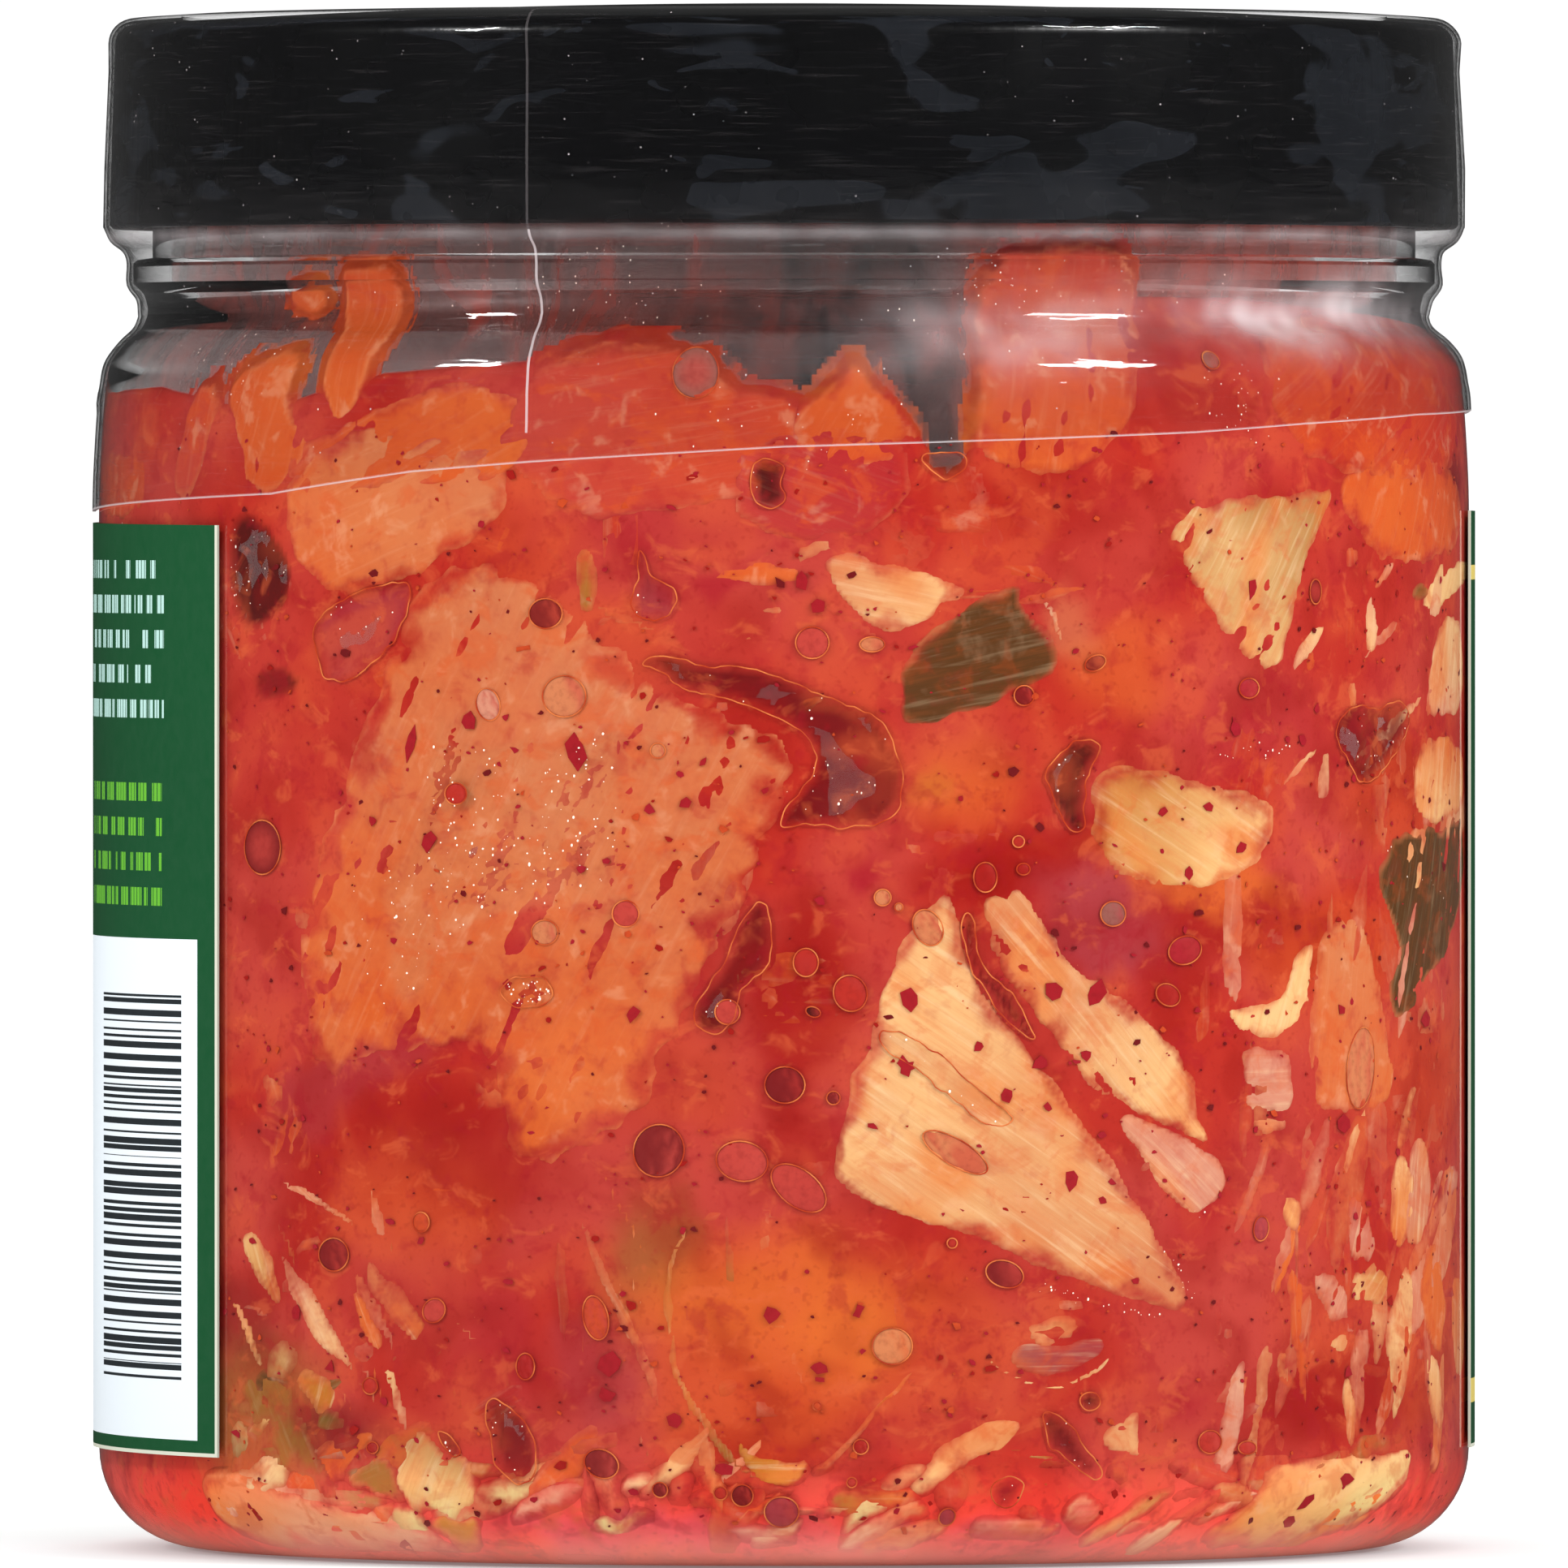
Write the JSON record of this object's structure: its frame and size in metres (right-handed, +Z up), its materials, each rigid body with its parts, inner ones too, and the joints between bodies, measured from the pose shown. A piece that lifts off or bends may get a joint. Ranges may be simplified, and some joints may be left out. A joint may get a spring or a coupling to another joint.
{
  "type": "kimchi jar",
  "caption": "Clear wide-mouthed plastic jar packed with cut kimchi, with a black screw cap, a clear shrink sleeve over the shoulder and a green wrap label.",
  "frame": {"origin": "centre of the jar's foot ring, on the plane it stands on", "axes": "+Z up along the jar's axis; -Y is the front, where the label leaves a window; +X to the right of the front"},
  "size_m": [0.1145, 0.1142, 0.1276],
  "materials": {
    "jar": "clear glossy plastic",
    "cap": "glossy black",
    "shrink_sleeve": "clear glossy film",
    "label": "coated paper, satin green",
    "kimchi": null
  },
  "bodies": {
    "root": {"jar": "jar", "cap": "cap", "shrink_sleeve": "shrink_sleeve", "label": "label", "kimchi": "kimchi"}
  },
  "joints": []
}
